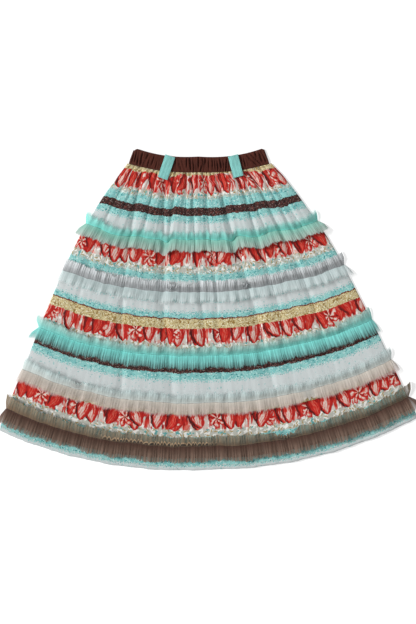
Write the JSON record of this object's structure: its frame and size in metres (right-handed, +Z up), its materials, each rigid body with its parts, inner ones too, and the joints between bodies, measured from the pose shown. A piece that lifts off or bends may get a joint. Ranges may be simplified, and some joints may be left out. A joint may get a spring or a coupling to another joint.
{
  "type": "ruffle skirt laid flat",
  "caption": "Gathered cotton midi skirt with an elastic waistband, belt loops and rows of tulle ruffles, lying flat on its back.",
  "frame": {"origin": "middle of the underside of the box round the skirt, on the surface that it lies on", "axes": "+Y from the hem to the waist, +X to the right as the front is seen, +Z up, off the surface"},
  "size_m": [1.0242, 0.7736, 0.0355],
  "materials": {
    "printed_cotton": "matte plain-weave cotton printed in bands of ochre, red, cream, mint, brown and white",
    "brown_casing": "matte brown cotton casing over elastic",
    "mint_loop": "matte mint cotton",
    "mint_tulle": "sheer mint tulle with a soft sheen",
    "ice_tulle": "sheer ice white tulle with a soft sheen",
    "cocoa_tulle": "sheer brown tulle with a soft sheen"
  },
  "bodies": {
    "root": {"front_panel": "printed_cotton", "back_panel": "printed_cotton", "waistband": "brown_casing", "belt_loop_left": "mint_loop", "belt_loop_right": "mint_loop", "ruffle_1_mint": "mint_tulle", "ruffle_2_ice": "ice_tulle", "ruffle_3_mint": "mint_tulle", "ruffle_4_ice": "ice_tulle", "ruffle_5_cocoa": "cocoa_tulle"}
  },
  "joints": []
}
